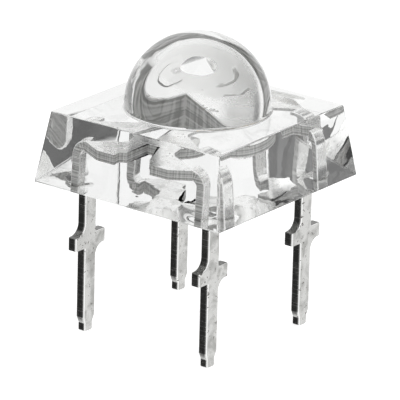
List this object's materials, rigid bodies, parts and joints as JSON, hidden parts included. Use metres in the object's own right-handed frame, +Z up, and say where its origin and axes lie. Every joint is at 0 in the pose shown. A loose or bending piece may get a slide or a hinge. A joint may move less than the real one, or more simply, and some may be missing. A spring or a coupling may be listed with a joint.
{
  "type": "light-emitting diode",
  "caption": "Clear square through-hole light-emitting diode with a hemispherical lens on a drafted block, cast round a stamped lead frame whose flat leads leave the underside.",
  "frame": {"origin": "centre of the square body in plan, in the plane of the lead tips", "axes": "+Z up along the optical axis through the dome; X runs along a row of two leads of one polarity, whose wide faces look along X; the cathode's row is on the -Y side"},
  "size_m": [0.0076, 0.0076, 0.0102],
  "materials": {
    "clear_epoxy": "water-clear cast epoxy, glossy",
    "plated_lead": "silver-plated copper alloy strip, satin faces and dull sheared edges",
    "silver_paste": "cured silver-filled epoxy",
    "chip": "polished semiconductor",
    "gold_wire": "bright gold"
  },
  "bodies": {
    "root": {"lens_body": "clear_epoxy", "cathode_frame": "plated_lead", "anode_frame": "plated_lead", "die_attach": "silver_paste", "led_chip": "chip", "bond_wire": "gold_wire"}
  },
  "joints": []
}
